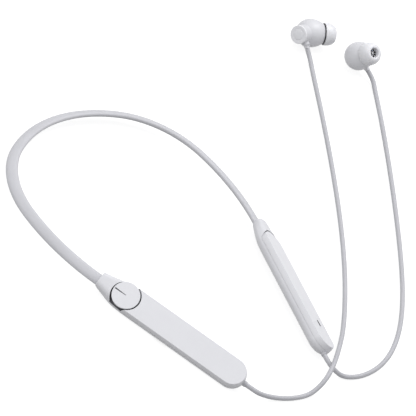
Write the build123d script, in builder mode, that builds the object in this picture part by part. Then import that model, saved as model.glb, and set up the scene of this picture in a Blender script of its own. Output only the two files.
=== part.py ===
from build123d import *
import os
from math import cos, pi, radians, sin, tan

# Neckband earphones lying on a flat surface, Z up, dimensions in mm.
# Two control modules joined by a flexible neckband, each with a thin cable to an earbud.

# Horseshoe centreline: three tangent arcs each side of the nape, in one level plane
NAPE_Y = 96.48
MID_X = -82.98
ARC_NAPE, TURN_NAPE = 91.0, 27.5
ARC_SIDE, TURN_SIDE = 55.1, 55.7
ARC_TAIL, TURN_TAIL = 125.9, 25.8
CORE_Z = 5.965
ROLL = 30.1  # outward roll of the band and of both modules
LEAN = TURN_NAPE + TURN_SIDE + TURN_TAIL - 90

# Neckband: flat oval silicone band
BAND_HALF_W, BAND_HALF_T = 3.4, 1.7
BAND_INSET = 8.0
WIRE_R = 0.45
RIBBON_W, RIBBON_T, RIBBON_Y = 1.5, 0.4, 1.9

# Module section: flat face, drafted cover wall, bulged tub, elliptical belly
MODULE_END = 97.6
FACE_HALF, FACE_Z = 7.75, 4.6
SEAM_HALF, SEAM_Z = 8.3, 1.3
BELLY_HALF, BELLY_Z = 8.45, 4.8
END_X = MODULE_END - BELLY_HALF
FULL_X = 20.0
WALL = 1.2
CAVITY_LEFT_X, CAVITY_RIGHT_X = 28.0, 21.0
PARTING = 0.15

# Dial and its plunger, which travels 0.4 toward the switch
DIAL_X, DIAL_R, DIAL_Z = 17.2, 8.0, 3.0
POCKET_R = 8.7
STEM_R, RUN_GAP = 1.6, 0.03

# Charging socket in the outer side of the left tub
USB_X, USB_Z, USB_LONG, USB_HIGH = 47.0, -1.95, 9.2, 3.2

# Microphone port in the right cover
MIC_X, MIC_Y, MIC_LONG, MIC_WIDE = 78.3, 1.4, 4.7, 1.5

# Cables
CABLE_R = 1.35
GROMMET_R, GROMMET_Z, GROMMET_FACE = 1.7, -0.7, 99.0

# Earbuds
BULB_R = 8.35
SHELL_WALL = 1.2
CAP_TILT = 41.5
CAP_R, CAP_FACE, CAP_BODY = 5.4, 12.7, 11.6
BOSS_TILT, BOSS_AT, BOSS_SHELL, BOSS_END = 27.0, 7.3, 6.7, 9.0
NOZZLE_R, NOZZLE_END = 3.9, 13.4
SPLIT_Z = 3.0
DRIVER_R = 6.0
LEFT_BUD = (131.46, 97.65, 8.36)
RIGHT_BUD = (145.30, 69.60, 12.05)


def out_of(side):
    """Level direction from the mid-plane outward at one module."""
    return Vector(side * cos(radians(LEAN)), -sin(radians(LEAN)), 0)


def along_of(side):
    """Direction from the band toward the cable end of one module."""
    return Vector(-side * sin(radians(LEAN)), -cos(radians(LEAN)), 0)


def horseshoe_half():
    """Half width and drop from the nape to where the sleeve begins."""
    a = radians(TURN_NAPE)
    b = radians(TURN_NAPE + TURN_SIDE)
    c = radians(TURN_NAPE + TURN_SIDE + TURN_TAIL)
    half = ARC_NAPE * sin(a) + ARC_SIDE * (sin(b) - sin(a)) + ARC_TAIL * (sin(c) - sin(b))
    drop = ARC_NAPE * (1 - cos(a)) + ARC_SIDE * (cos(a) - cos(b)) + ARC_TAIL * (cos(b) - cos(c))
    return half, drop


def module_plane(side):
    """X along the module, Z out of its face, origin on the core line at the sleeve mouth."""
    half, drop = horseshoe_half()
    face = out_of(side) * sin(radians(ROLL)) + Vector(0, 0, cos(radians(ROLL)))
    return Plane(
        origin=(MID_X + side * half, NAPE_Y - drop, CORE_Z), x_dir=along_of(side), z_dir=face
    )


LEFT, RIGHT = module_plane(-1), module_plane(1)
OUTER = {-1: -1, 1: 1}  # sign of module Y that points to the outer side


def station(module, x):
    """Cross-section plane at a distance along the module: sketch X is module Y."""
    return Plane(origin=module.from_local_coords((x, 0, 0)), x_dir=module.y_dir, z_dir=module.x_dir)


def sideways(module, x, y, z, sign):
    """Plane looking along module Y, for features in the side wall."""
    spot = module.from_local_coords((x, y, z))
    return Plane(origin=spot, x_dir=module.x_dir, z_dir=module.y_dir * sign)


def save(builder, name):
    """Label and write one piece."""
    builder.part.label = name
    export_step(builder.part, f"parts/{name}.step")


def outline(face_half, face_z, seam_half, seam_z, belly_half, core_z, belly_z, bulge):
    """Whole section outline: face, upper sides, lower sides, elliptical belly."""
    with BuildLine() as edge:
        Line((-face_half, face_z), (face_half, face_z))
        for s in (-1, 1):
            shoulder = (s * (face_half + bulge * (seam_half - face_half)), face_z - 0.15 * bulge)
            if bulge < 0.1:
                shoulder = (s * (face_half + seam_half) / 2, (face_z + seam_z) / 2)
            Bezier((s * face_half, face_z), shoulder, (s * seam_half, seam_z))
            Bezier(
                (s * seam_half, seam_z),
                (s * belly_half, core_z + 0.55 * (seam_z - core_z)),
                (s * belly_half, core_z),
            )
        EllipticalCenterArc((0, core_z), belly_half, belly_z, start_angle=180, arc_size=180)
    make_face(edge.edges())


def half_outline(face_half, face_z, seam_half, seam_z, belly_half, core_z, belly_z):
    """Half of the full section, to be turned about the face normal."""
    with BuildLine() as edge:
        Polyline((0, core_z - belly_z), (0, face_z), (face_half, face_z), (seam_half, seam_z))
        Bezier(
            (seam_half, seam_z),
            (belly_half, core_z + 0.55 * (seam_z - core_z)),
            (belly_half, core_z),
        )
        EllipticalCenterArc((0, core_z), belly_half, belly_z, start_angle=270, arc_size=90)
    make_face(edge.edges())


OUTER_SECTION = (FACE_HALF, FACE_Z, SEAM_HALF, SEAM_Z, BELLY_HALF, 0.0, BELLY_Z)
INNER_SECTION = (
    FACE_HALF - WALL,
    FACE_Z - WALL,
    SEAM_HALF - WALL,
    SEAM_Z,
    BELLY_HALF - WALL,
    0.0,
    BELLY_Z - WALL,
)


def bar(module, start, section, mode=Mode.ADD):
    """Straight run of a section, closed by half a turn at the cable end."""
    with BuildSketch(station(module, start)) as whole:
        outline(*section, 0)
    extrude(whole.sketch, amount=END_X - start, mode=mode)
    with BuildSketch(station(module, END_X)) as half:
        half_outline(*section)
    turn = Axis(module.from_local_coords((END_X, 0, 0)), module.z_dir * -1)
    revolve(half.sketch, axis=turn, revolution_arc=180, mode=mode)


def sleeve(module):
    """Sleeve from the oval collar at the band to the full module section."""
    with BuildSketch(station(module, 0)) as mouth:
        outline(1.5, 4.7, 4.3, 2.4, 4.35, 1.1, 3.5, 1.0)
    with BuildSketch(station(module, 6.5)) as neck:
        outline(2.4, 4.68, 5.9, 1.9, 6.3, 0.6, 4.2, 0.9)
    with BuildSketch(station(module, 13)) as hip:
        outline(4.6, 4.65, 7.6, 1.5, 7.93, 0.15, 4.67, 0.7)
    with BuildSketch(station(module, FULL_X)) as body:
        outline(*OUTER_SECTION, 0)
    loft([mouth.sketch, neck.sketch, hip.sketch, body.sketch])


def bore(module, sketch_radius, start, stop, y=0.0, mode=Mode.SUBTRACT):
    """Round bore along the module."""
    with BuildSketch(station(module, start)) as profile:
        with Locations((y, 0)):
            Circle(sketch_radius)
    extrude(profile.sketch, amount=stop - start, mode=mode)


def band_entry(module, inner):
    """Blind socket for the band end, and the bores for the wire and the ribbon."""
    with BuildSketch(station(module, -1)) as profile:
        Ellipse(BAND_HALF_W + 0.03, BAND_HALF_T + 0.03)
    extrude(profile.sketch, amount=BAND_INSET + 1, mode=Mode.SUBTRACT)
    bore(module, WIRE_R, BAND_INSET, BAND_INSET + 2)
    with BuildSketch(station(module, BAND_INSET)) as profile2:
        with Locations((inner * RIBBON_Y, 0)):
            Rectangle(RIBBON_W, RIBBON_T)
    extrude(profile2.sketch, amount=CAVITY_RIGHT_X - BAND_INSET + 2, mode=Mode.SUBTRACT)


def post(module, x, y):
    """Screw post standing on the tub floor, with its pilot bore."""
    with BuildSketch(module.offset(-3.4)) as profile:
        with Locations((x, y)):
            Circle(1.4)
    extrude(profile.sketch, amount=3.05)
    with BuildSketch(module.offset(-2.4)) as profile2:
        with Locations((x, y)):
            Circle(0.55)
    extrude(profile2.sketch, amount=3, mode=Mode.SUBTRACT)


def battery_rib(module, x):
    """Low rib on the tub floor under the battery."""
    with BuildSketch(module.offset(-3.7)) as profile:
        with Locations((x, 0)):
            Rectangle(1.2, 10)
    extrude(profile.sketch, amount=1.5)


def grommet_hole(module):
    """Hole through the rounded end for the grommet."""
    with BuildSketch(station(module, END_X + 4)) as profile:
        with Locations((0, GROMMET_Z)):
            Circle(GROMMET_R)
    extrude(profile.sketch, amount=10, mode=Mode.SUBTRACT)


def disc(module, x, y, radius, z_low, z_high, mode=Mode.ADD):
    """Round disc or hole parallel to the face."""
    with BuildSketch(module.offset(z_low)) as profile:
        with Locations((x, y)):
            Circle(radius)
    extrude(profile.sketch, amount=z_high - z_low, mode=mode)


def slab(module, x, y, long, wide, z_low, z_high, mode=Mode.ADD):
    """Rectangular slab parallel to the face."""
    with BuildSketch(module.offset(z_low)) as profile:
        with Locations((x, y)):
            Rectangle(long, wide)
    extrude(profile.sketch, amount=z_high - z_low, mode=mode)


def left_housing():
    """Left tub and sleeve in one piece, open above the seam."""
    with BuildPart() as left_housing:
        sleeve(LEFT)
        bar(LEFT, FULL_X, OUTER_SECTION)
        disc(LEFT, DIAL_X, 0, POCKET_R, SEAM_Z, 9, Mode.SUBTRACT)
        slab(LEFT, DIAL_X + 50, 0, 100, 30, SEAM_Z, 9, Mode.SUBTRACT)
        bar(LEFT, CAVITY_LEFT_X, INNER_SECTION, Mode.SUBTRACT)
        disc(LEFT, DIAL_X, 0, 6.9, 0.1, SEAM_Z, Mode.SUBTRACT)
        disc(LEFT, DIAL_X, 0, 6.0, -2.2, 0.1, Mode.SUBTRACT)
        disc(LEFT, DIAL_X, 0, 3.0, -3.5, -2.2, Mode.SUBTRACT)
        slab(LEFT, 25.6, 0, 6, 6, -2.2, 0.1, Mode.SUBTRACT)
        band_entry(LEFT, 1)
        for x in (32, 57):
            post(LEFT, x, 4.2)
        for x in (66, 80):
            battery_rib(LEFT, x)
        with BuildSketch(sideways(LEFT, USB_X, 0, USB_Z, OUTER[-1])):
            SlotOverall(USB_LONG, USB_HIGH)
        extrude(amount=12, mode=Mode.SUBTRACT)
        grommet_hole(LEFT)
    save(left_housing, "left_housing")


def right_housing():
    """Right tub and sleeve in one piece, open above the seam."""
    with BuildPart() as right_housing:
        sleeve(RIGHT)
        bar(RIGHT, FULL_X, OUTER_SECTION)
        disc(RIGHT, DIAL_X, 0, SEAM_HALF + 0.2, SEAM_Z, 9, Mode.SUBTRACT)
        slab(RIGHT, DIAL_X + 50, 0, 100, 30, SEAM_Z, 9, Mode.SUBTRACT)
        bar(RIGHT, CAVITY_RIGHT_X, INNER_SECTION, Mode.SUBTRACT)
        band_entry(RIGHT, -1)
        for x in (58, 84):
            post(RIGHT, x, -4.2)
        for x in (30, 46):
            battery_rib(RIGHT, x)
        grommet_hole(RIGHT)
    save(right_housing, "right_housing")


def reveal(module):
    """Thin groove under the rim of a cover, open to the outside."""
    with BuildSketch(module.offset(SEAM_Z)) as profile:
        with Locations((55, 0)):
            Rectangle(130, 40)
        with Locations(((DIAL_X + END_X) / 2, 0)):
            SlotOverall(END_X - DIAL_X + 2 * (SEAM_HALF - 0.5), 2 * (SEAM_HALF - 0.5), mode=Mode.SUBTRACT)
    extrude(profile.sketch, amount=PARTING, mode=Mode.SUBTRACT)


def left_cover():
    """Left cover shell, its band end hollowed round the dial."""
    with BuildPart() as left_cover:
        bar(LEFT, FULL_X, OUTER_SECTION)
        slab(LEFT, 60, 0, 120, 30, -9, SEAM_Z, Mode.SUBTRACT)
        disc(LEFT, DIAL_X, 0, POCKET_R, -9, 9, Mode.SUBTRACT)
        rim = left_cover.faces().sort_by(Axis(LEFT.origin, LEFT.z_dir))[-1].outer_wire().edges()
        fillet(rim, 0.35)
        reveal(LEFT)
        with BuildPart(mode=Mode.PRIVATE) as hollow:
            bar(LEFT, FULL_X, INNER_SECTION)
            disc(LEFT, DIAL_X, 0, POCKET_R + WALL, -9, 9, Mode.SUBTRACT)
        add(hollow.part, mode=Mode.SUBTRACT)
    save(left_cover, "left_cover")


def round_start(module, section):
    """Half turn that closes a section at the band end."""
    with BuildSketch(station(module, DIAL_X)) as profile:
        half_outline(*section)
    turn = Axis(module.from_local_coords((DIAL_X, 0, 0)), module.z_dir)
    revolve(profile.sketch, axis=turn, revolution_arc=180)


def right_cover():
    """Right cover shell, round at both ends, with the microphone port."""
    with BuildPart() as right_cover:
        bar(RIGHT, DIAL_X, OUTER_SECTION)
        round_start(RIGHT, OUTER_SECTION)
        slab(RIGHT, 60, 0, 140, 30, -9, SEAM_Z, Mode.SUBTRACT)
        rim = right_cover.faces().sort_by(Axis(RIGHT.origin, RIGHT.z_dir))[-1].outer_wire().edges()
        fillet(rim, 0.35)
        reveal(RIGHT)
        with BuildPart(mode=Mode.PRIVATE) as hollow:
            bar(RIGHT, DIAL_X, INNER_SECTION)
            round_start(RIGHT, INNER_SECTION)
        add(hollow.part, mode=Mode.SUBTRACT)
        with BuildSketch(RIGHT.offset(FACE_Z - 2)):
            with Locations((MIC_X, MIC_Y)):
                SlotOverall(MIC_LONG, MIC_WIDE)
        extrude(amount=4, mode=Mode.SUBTRACT)
    save(right_cover, "right_cover")


def neckband_path(inset):
    """Level centreline of the band, with a straight end inside each sleeve."""
    start = LEFT.from_local_coords((inset, 0, 0))
    with BuildLine() as path:
        first = Line(start, LEFT.origin)
        joint, heading = first @ 1, first % 1
        for radius, turn in (
            (ARC_TAIL, TURN_TAIL),
            (ARC_SIDE, TURN_SIDE),
            (ARC_NAPE, 2 * TURN_NAPE),
            (ARC_SIDE, TURN_SIDE),
            (ARC_TAIL, TURN_TAIL),
        ):
            arc = JernArc(joint, heading, radius, -turn)
            joint, heading = arc @ 1, arc % 1
        Line(joint, RIGHT.from_local_coords((inset, 0, 0)))
    return path


def band_station(inset):
    """Section plane at the left end of the band, facing along the sweep."""
    spot = LEFT.from_local_coords((inset, 0, 0))
    return Plane(origin=spot, x_dir=LEFT.y_dir * -1, z_dir=LEFT.x_dir * -1)


def neckband_skin():
    """Soft band with lengthwise bores for the wire and the ribbon."""
    path = neckband_path(BAND_INSET)
    with BuildPart() as neckband_skin:
        with BuildSketch(band_station(BAND_INSET)):
            Ellipse(BAND_HALF_W, BAND_HALF_T)
            Circle(WIRE_R, mode=Mode.SUBTRACT)
            with Locations((-RIBBON_Y, 0)):
                Rectangle(RIBBON_W, RIBBON_T, mode=Mode.SUBTRACT)
        sweep(path=path.wire())
    save(neckband_skin, "neckband_skin")


def memory_wire():
    """Spring wire that keeps the band in shape."""
    path = neckband_path(BAND_INSET + 2)
    with BuildPart() as memory_wire:
        with BuildSketch(band_station(BAND_INSET + 2)):
            Circle(WIRE_R)
        sweep(path=path.wire())
    save(memory_wire, "memory_wire")


def band_lead_ribbon():
    """Ribbon of conductors between the two modules."""
    path = neckband_path(BAND_INSET + 1.5)
    with BuildPart() as band_lead_ribbon:
        with BuildSketch(band_station(BAND_INSET + 1.5)):
            with Locations((-RIBBON_Y, 0)):
                Rectangle(RIBBON_W, RIBBON_T)
        sweep(path=path.wire())
    save(band_lead_ribbon, "band_lead_ribbon")


def dial_knob():
    """Turning disc with a pointer groove, on a short hub."""
    with BuildPart() as dial_knob:
        disc(LEFT, DIAL_X, 0, DIAL_R, DIAL_Z, FACE_Z)
        rims = dial_knob.edges().filter_by(GeomType.CIRCLE)
        fillet(rims, 0.25)
        disc(LEFT, DIAL_X, 0, 2.6, DIAL_Z - 0.75, DIAL_Z)
        disc(LEFT, DIAL_X, 0, STEM_R + RUN_GAP, DIAL_Z - 1, DIAL_Z + 0.9, Mode.SUBTRACT)
        with BuildSketch(LEFT.offset(FACE_Z - 0.45)):
            with BuildLine():
                x, r = DIAL_X, 0.26
                Polyline((x - 7.3, -0.43), (x, -r), (x, r), (x - 7.3, 0.43), close=True)
            make_face()
        extrude(amount=2, mode=Mode.SUBTRACT)
    save(dial_knob, "dial_knob")


def ring(module, x, inner, outer, z_low, z_high, name):
    """Flat ring parallel to the face."""
    with BuildPart() as flat_ring:
        disc(module, x, 0, outer, z_low, z_high)
        disc(module, x, 0, inner, z_low - 1, z_high + 1, Mode.SUBTRACT)
    save(flat_ring, name)


def dial_stem():
    """Plunger that carries the dial and presses the switch."""
    with BuildPart() as dial_stem:
        disc(LEFT, DIAL_X, 0, STEM_R, -1.7, DIAL_Z + 0.85)
        disc(LEFT, DIAL_X, 0, 2.6, 1.75, DIAL_Z - 0.8)
    save(dial_stem, "dial_stem")


def dial_switch():
    """Small dome switch in the tub floor under the plunger."""
    with BuildPart() as dial_switch:
        disc(LEFT, DIAL_X, 0, 3.0, -3.5, -2.5)
        disc(LEFT, DIAL_X, 0, 1.4, -2.5, -2.15)
    save(dial_switch, "dial_switch")


def dial_sensor():
    """Rotation sensor chip on the bearing plate."""
    with BuildPart() as dial_sensor:
        slab(LEFT, DIAL_X + 4.6, 0, 2.4, 3, SEAM_Z, SEAM_Z + 0.4)
    save(dial_sensor, "dial_sensor")


def circuit_board(module, x_low, x_high, posts, name):
    """Board on the screw posts."""
    with BuildPart() as board:
        slab(module, (x_low + x_high) / 2, 0, x_high - x_low, 13.2, -0.35, 0.45)
        for x, y in posts:
            disc(module, x, y, 0.65, -2, 2, Mode.SUBTRACT)
    save(board, name)


def battery(module, x, name):
    """Pouch cell on its two ribs."""
    with BuildPart() as cell:
        slab(module, x, 0, 22, 11, -2.2, 2.9)
        fillet(cell.edges().filter_by(Axis(module.origin, module.x_dir)), 1.0)
    save(cell, name)


def board_screw(module, x, y, name):
    """Small pan-head screw through the board into a post."""
    with BuildPart() as screw:
        disc(module, x, y, 0.55, -2.4, 0.45)
        disc(module, x, y, 1.15, 0.45, 1.15)
        slab(module, x, y, 1.5, 0.3, 0.85, 1.3, Mode.SUBTRACT)
    save(screw, name)


def usb_shell():
    """Metal shell of the charging socket, open to the outer side."""
    with BuildPart() as usb_shell:
        with BuildSketch(sideways(LEFT, USB_X, 0.4 * OUTER[-1], USB_Z, OUTER[-1])):
            SlotOverall(USB_LONG, USB_HIGH)
        extrude(amount=5.2)
        with BuildSketch(sideways(LEFT, USB_X, 1.0 * OUTER[-1], USB_Z, OUTER[-1])):
            SlotOverall(USB_LONG - 0.6, USB_HIGH - 0.6)
        extrude(amount=6, mode=Mode.SUBTRACT)
    save(usb_shell, "usb_shell")


def usb_tongue():
    """Contact tongue standing in the socket shell."""
    with BuildPart() as usb_tongue:
        with BuildSketch(sideways(LEFT, USB_X, 1.0 * OUTER[-1], USB_Z, OUTER[-1])):
            Rectangle(6.6, 0.7)
        extrude(amount=3.9)
    save(usb_tongue, "usb_tongue")


def cable_grommet(module, name):
    """Short sleeve in the module end, flanged on the inside."""
    with BuildPart() as grommet:
        with BuildSketch(station(module, END_X + 4.6)):
            with Locations((0, GROMMET_Z)):
                Circle(GROMMET_R)
        extrude(amount=GROMMET_FACE - END_X - 4.6)
        mouth = grommet.edges().sort_by(Axis(module.origin, module.x_dir))[-1]
        fillet(mouth, 0.35)
    save(grommet, name)


def right_microphone():
    """Microphone under the port, and the mesh that covers the port."""
    with BuildPart() as right_microphone:
        slab(RIGHT, MIC_X, MIC_Y, 4.0, 3.0, 2.2, 3.28)
    save(right_microphone, "right_microphone")
    with BuildPart() as microphone_mesh:
        slab(RIGHT, MIC_X, MIC_Y, 5.6, 2.4, 3.28, 3.4)
    save(microphone_mesh, "microphone_mesh")


def cable_route(start, middle, end):
    """Rounded route: straight runs joined by tangent arcs."""
    points = [Vector(p) for p in [start] + middle + [end]]
    radii = []
    for before, corner, after in zip(points, points[1:], points[2:]):
        one, two = corner - before, after - corner
        half = radians(one.get_angle(two)) / 2
        radii.append(0.45 * min(one.length, two.length) / tan(half))
    with BuildLine() as line:
        FilletPolyline(*points, radius=radii)
    print("radii", [round(r, 1) for r in radii], "length", round(line.wire().length, 1))
    print("route", [tuple(round(v, 2) for v in p) for p in points])
    return line, points


def cable(start, middle, end, name):
    """Round cable along its route."""
    line, points = cable_route(start, middle, end)
    with BuildPart() as cord:
        with BuildSketch(Plane(origin=points[0], z_dir=points[1] - points[0])):
            Circle(CABLE_R)
        sweep(path=line.wire())
    print(name, "volume ratio", round(cord.part.volume / (line.wire().length * pi * CABLE_R**2), 3))
    save(cord, name)


def bud_plane(spot, azimuth, rise, roll):
    """Earbud frame: Z out of the nozzle, the rear cap in the XZ plane."""
    a, e, w = radians(azimuth), radians(rise), radians(roll)
    nose = Vector(cos(e) * cos(a), cos(e) * sin(a), sin(e))
    up = Vector(-sin(e) * cos(a), -sin(e) * sin(a), cos(e))
    x_dir = up * cos(w) + nose.cross(up) * sin(w)
    return Plane(origin=spot, x_dir=x_dir, z_dir=nose)


def cap_plane(bud, distance):
    """Plane square to the rear cap axis at a distance from the bulb centre."""
    t = radians(CAP_TILT)
    spot = bud.from_local_coords((distance * sin(t), 0, -distance * cos(t)))
    return Plane(origin=spot, x_dir=bud.y_dir, z_dir=bud.x_dir * sin(t) - bud.z_dir * cos(t))


def boss_plane(bud, ear, distance):
    """Plane square to the cable boss at a distance from the cap axis."""
    t, b = radians(CAP_TILT), radians(BOSS_TILT)
    way = bud.y_dir * (ear * cos(b)) + (bud.x_dir * cos(t) + bud.z_dir * sin(t)) * sin(b)
    base = bud.from_local_coords((BOSS_AT * sin(t), 0, -BOSS_AT * cos(t)))
    return Plane(origin=base + way * distance, x_dir=bud.z_dir, z_dir=way)


def bud_meridian(bud):
    """Sketch plane through the nozzle axis: sketch Y runs out of the nozzle."""
    return Plane(origin=bud.origin, x_dir=bud.x_dir, z_dir=bud.y_dir * -1)


def bulb(bud, radius, neck_r, neck_z, mode=Mode.ADD):
    """Egg-shaped bulb, round at the back and tapering to the neck."""
    with BuildSketch(bud_meridian(bud)) as profile:
        with BuildLine():
            CenterArc((0, 0), radius, -90, 90)
            Bezier((radius, 0), (radius, 0.45 * neck_z), (neck_r + 1.2, 0.8 * neck_z), (neck_r, neck_z))
            Polyline((neck_r, neck_z), (0, neck_z), (0, -radius))
        make_face()
    revolve(profile.sketch, axis=Axis(bud.origin, bud.z_dir), mode=mode)


def bud_disc(plane, radius, amount, mode=Mode.ADD):
    """Round boss or bore square to a plane."""
    with BuildSketch(plane) as profile:
        Circle(radius)
    extrude(profile.sketch, amount=amount, mode=mode)


def front_half(bud, above, mode):
    """Large block on one side of the shell split."""
    with BuildSketch(bud.offset(SPLIT_Z)) as profile:
        Rectangle(60, 60)
    extrude(profile.sketch, amount=40 if above else -40, mode=mode)


def rear_shell(bud, ear, name):
    """Rear half of the bulb with the cap barrel and the cable boss."""
    with BuildPart() as shell:
        bulb(bud, BULB_R, 5.9, 7.6)
        front_half(bud, True, Mode.SUBTRACT)
        bud_disc(cap_plane(bud, 2), CAP_R, CAP_BODY - 2)
        bud_disc(boss_plane(bud, ear, 3), 2.2, BOSS_SHELL - 3)
        front_half(bud, True, Mode.SUBTRACT)
        with BuildPart(mode=Mode.PRIVATE) as hollow:
            bulb(bud, BULB_R - SHELL_WALL, 5.0, 7.6)
            bud_disc(cap_plane(bud, 2), CAP_R - SHELL_WALL, CAP_BODY)
        add(hollow.part, mode=Mode.SUBTRACT)
        bud_disc(boss_plane(bud, ear, 2.5), 1.4, 8, Mode.SUBTRACT)
    save(shell, name)


def front_shell(bud, name):
    """Front half of the bulb with the nozzle."""
    with BuildPart() as shell:
        bulb(bud, BULB_R, 5.9, 7.6)
        front_half(bud, False, Mode.SUBTRACT)
        bud_disc(bud.offset(7), NOZZLE_R, NOZZLE_END - 7)
        bud_disc(bud.offset(SPLIT_Z), DRIVER_R, 0.8, Mode.SUBTRACT)
        bud_disc(bud.offset(SPLIT_Z), 2.9, 20, Mode.SUBTRACT)
    save(shell, name)


def rear_cap(bud, name):
    """End disc of the cap barrel with a raised centre."""
    with BuildPart() as cap:
        bud_disc(cap_plane(bud, CAP_BODY), CAP_R, CAP_FACE - CAP_BODY)
        fillet(cap.edges().group_by(Axis(bud.origin, cap_plane(bud, 0).z_dir))[-1], 0.3)
        bud_disc(cap_plane(bud, CAP_FACE - 0.2), 3.05, 0.6)
        bud_disc(cap_plane(bud, CAP_BODY - 1), CAP_R - SHELL_WALL, 1)
    save(cap, name)


def bud_ring(bud, inner, outer, z_low, z_high, name):
    """Ring or disc about the nozzle axis."""
    with BuildPart() as piece:
        bud_disc(bud.offset(z_low), outer, z_high - z_low)
        if inner > 0:
            bud_disc(bud.offset(z_low - 1), inner, z_high - z_low + 2, Mode.SUBTRACT)
    save(piece, name)


def cap_magnet(bud, name):
    """Magnet behind the end disc, so that the two buds hold together."""
    with BuildPart() as magnet:
        bud_disc(cap_plane(bud, 9.0), 3.2, CAP_BODY - 1 - 9.0)
    save(magnet, name)


def driver_basket(bud, name):
    """Cup that carries the speaker driver."""
    with BuildPart() as basket:
        bud_disc(bud.offset(-1.2), DRIVER_R, SPLIT_Z + 2.0)
        bud_disc(bud.offset(-0.6), DRIVER_R - 0.6, 8, Mode.SUBTRACT)
    save(basket, name)


def ear_tip(bud, name):
    """Soft mushroom tip with a domed skirt round an inner sleeve."""
    bore_r = NOZZLE_R + RUN_GAP
    with BuildPart() as tip:
        with BuildSketch(bud_meridian(bud)):
            with BuildLine():
                Bezier((2.88, 14.9), (2.9, 15.3), (3.5, 15.3))
                Bezier((3.5, 15.3), (6.5, 15.0), (6.75, 11.0), (6.7, 7.8))
                Line((6.7, 7.8), (6.0, 7.8))
                Bezier((6.0, 7.8), (6.1, 11.0), (5.7, 12.6), (4.8, 13.0))
                Line((4.8, 13.0), (4.8, 8.4))
                Polyline((4.8, 8.4), (bore_r, 8.4), (bore_r, 13.45), (2.88, 13.45), (2.88, 14.9))
            make_face()
        revolve(axis=Axis(bud.origin, bud.z_dir))
    save(tip, name)


def strain_relief(bud, ear, name):
    """Tapered relief where the cable enters the bud."""
    with BuildPart() as relief:
        with BuildSketch(boss_plane(bud, ear, BOSS_SHELL)):
            Circle(1.95)
        with BuildSketch(boss_plane(bud, ear, BOSS_END)):
            Circle(1.5)
        loft()
        bud_disc(boss_plane(bud, ear, CAP_R - 0.9), 1.4, BOSS_SHELL - CAP_R + 0.9)
    save(relief, name)


def earbud(bud, ear, side):
    """All the pieces of one earbud."""
    rear_shell(bud, ear, f"{side}_bud_rear_shell")
    front_shell(bud, f"{side}_bud_front_shell")
    rear_cap(bud, f"{side}_bud_cap")
    cap_magnet(bud, f"{side}_bud_cap_magnet")
    driver_basket(bud, f"{side}_driver_basket")
    bud_ring(bud, 0, 3.5, -0.6, 1.4, f"{side}_driver_magnet")
    bud_ring(bud, 3.7, 4.1, 0.4, 2.6, f"{side}_voice_coil")
    bud_ring(bud, 0, DRIVER_R - 0.6, 2.6, 2.75, f"{side}_diaphragm")
    bud_ring(bud, 0, 2.9, 12.2, 12.35, f"{side}_nozzle_mesh")
    bud_ring(bud, NOZZLE_R, 5.9, 7.6, 7.9 - 0.12, f"{side}_neck_ring")
    ear_tip(bud, f"{side}_ear_tip")
    strain_relief(bud, ear, f"{side}_strain_relief")


# Cable routes, corner points between the grommet face and the earbud boss
LEFT_ROUTE = [
    (-110.63, -113.71, 4.08), (-102.05, -117.73, 2.17),
    (-91.45, -121.46, 1.53), (-79.98, -123.22, CABLE_R), (-73.67, -123.38, 4.00),
    (-66.16, -121.78, 9.20), (-52.41, -114.11, 9.60), (-33.55, -102.29, 4.60),
    (-18.48, -91.82, CABLE_R), (-1.41, -75.79, CABLE_R), (16.43, -57.21, CABLE_R),
    (34.13, -36.92, CABLE_R), (51.05, -15.96, CABLE_R), (67.38, 5.44, CABLE_R),
    (83.32, 27.15, CABLE_R), (98.91, 49.10, CABLE_R), (110.85, 66.48, CABLE_R),
    (118.96, 78.08, CABLE_R),
]
RIGHT_ROUTE = [
    (-51.12, -115.61, 4.04), (-47.10, -120.11, 1.75),
    (-38.18, -123.42, CABLE_R), (-26.92, -123.93, CABLE_R), (-13.62, -121.49, CABLE_R),
    (1.45, -115.16, CABLE_R), (17.93, -104.32, CABLE_R), (34.89, -89.47, CABLE_R),
    (52.01, -71.54, CABLE_R), (68.97, -51.93, CABLE_R), (85.47, -31.94, CABLE_R),
    (101.66, -11.69, CABLE_R), (117.52, 8.82, CABLE_R), (131.03, 26.86, CABLE_R),
    (140.95, 40.55, CABLE_R), (147.42, 49.76, CABLE_R),
]


def cables(left_bud, right_bud):
    """Both cables, from grommet face to strain relief face, leaving each square to it."""
    for module, route, out, bud, ear, inward, name in (
        (LEFT, LEFT_ROUTE, 5.0, left_bud, 1, 5.9, "left_cable"),
        (RIGHT, RIGHT_ROUTE, 5.1, right_bud, -1, 5.93, "right_cable"),
    ):
        start = module.from_local_coords((GROMMET_FACE, 0, GROMMET_Z))
        first = module.from_local_coords((GROMMET_FACE + out, 0, GROMMET_Z))
        last = boss_plane(bud, ear, BOSS_END + inward).origin
        end = boss_plane(bud, ear, BOSS_END).origin
        cable(start, [first] + route + [last], end, name)


os.makedirs("parts", exist_ok=True)
neckband_skin()
memory_wire()
band_lead_ribbon()
left_housing()
left_cover()
right_housing()
right_cover()
dial_knob()
dial_stem()
dial_switch()
dial_sensor()
ring(LEFT, DIAL_X, STEM_R + RUN_GAP, 6.9, 0.1, SEAM_Z, "dial_bearing_plate")
ring(LEFT, DIAL_X, 7.0, 7.9, SEAM_Z, 2.3, "dial_seat")
ring(LEFT, DIAL_X, 2.7, 6.4, 2.3, DIAL_Z, "dial_rotor")
ring(LEFT, DIAL_X, STEM_R, 2.4, -0.5, 0.05, "dial_retaining_ring")
circuit_board(LEFT, 29.5, 60, ((32, 4.2), (57, 4.2)), "left_circuit_board")
circuit_board(RIGHT, 55, 88, ((58, -4.2), (84, -4.2)), "right_circuit_board")
battery(LEFT, 73, "left_battery")
battery(RIGHT, 38, "right_battery")
board_screw(LEFT, 32, 4.2, "left_board_screw_inner")
board_screw(LEFT, 57, 4.2, "left_board_screw_outer")
board_screw(RIGHT, 58, -4.2, "right_board_screw_inner")
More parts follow.
